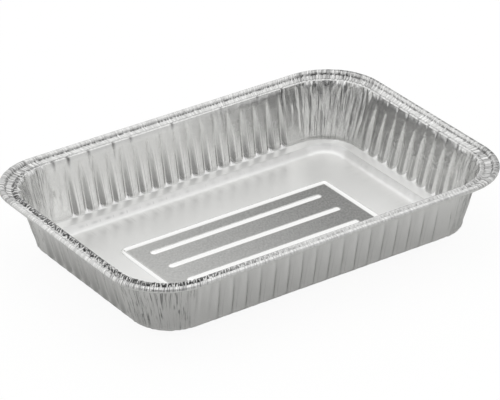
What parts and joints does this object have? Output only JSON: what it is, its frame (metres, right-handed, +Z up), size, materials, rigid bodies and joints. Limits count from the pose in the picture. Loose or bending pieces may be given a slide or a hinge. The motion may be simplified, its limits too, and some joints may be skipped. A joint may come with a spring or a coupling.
{
  "type": "foil drip pan",
  "caption": "Shallow rectangular pan pressed from one sheet of foil, with fluted walls, creased round corners, a rolled rim and a stiffened base, to catch drips under a grill.",
  "frame": {"origin": "middle of the face that the pan rests on, under the middle of its rim", "axes": "+X along the length, +Y along the width, +Z up, out of the open mouth"},
  "size_m": [0.218, 0.15, 0.0365],
  "materials": {
    "foil": "bright wrinkled foil"
  },
  "bodies": {
    "root": {"pan": "foil"}
  },
  "joints": []
}
